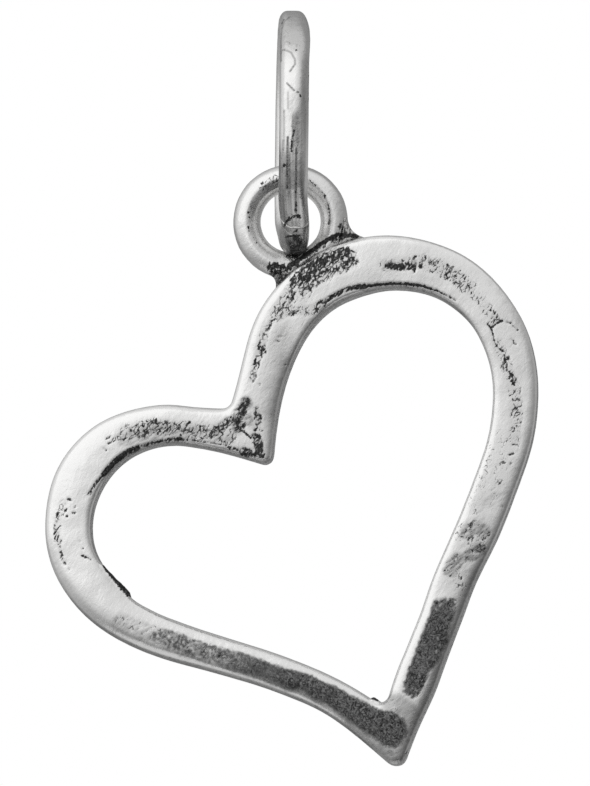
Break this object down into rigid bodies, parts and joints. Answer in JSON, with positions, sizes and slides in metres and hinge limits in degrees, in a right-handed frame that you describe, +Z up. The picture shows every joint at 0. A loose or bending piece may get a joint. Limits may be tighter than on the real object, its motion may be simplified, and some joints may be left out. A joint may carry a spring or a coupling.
{
  "type": "open heart charm",
  "caption": "Uneven open heart charm with a round loop soldered to its high shoulder, swinging on an oval bail that runs on a chain.",
  "frame": {"origin": "inside of the bail's crown, where the chain runs", "axes": "+Z up, -Y out of the heart's front, +X to the right seen from the front"},
  "size_m": [0.0202, 0.008, 0.031],
  "materials": {
    "antique_silver": "polished silver with dark patina left in pits and scratches",
    "loop_silver": "polished silver, grey patina on the inside",
    "solder": "dull silver solder, darkened in the corners",
    "bail_silver": "satin silver wire with drawn scratches",
    "seam_solder": "dull silver solder, unevenly filed"
  },
  "bodies": {
    "bail": {"bail_ring": "bail_silver", "bail_solder": "seam_solder"},
    "heart": {"heart_frame": "antique_silver", "hanging_loop": "loop_silver", "loop_solder": "solder"}
  },
  "joints": [
    {"name": "heart_swing", "type": "hinge", "parent": "bail", "child": "heart", "pos_m": [-0.00009, 0, -0.00771], "axis": [0, 1, 0], "range_deg": [-85, 135]}
  ]
}
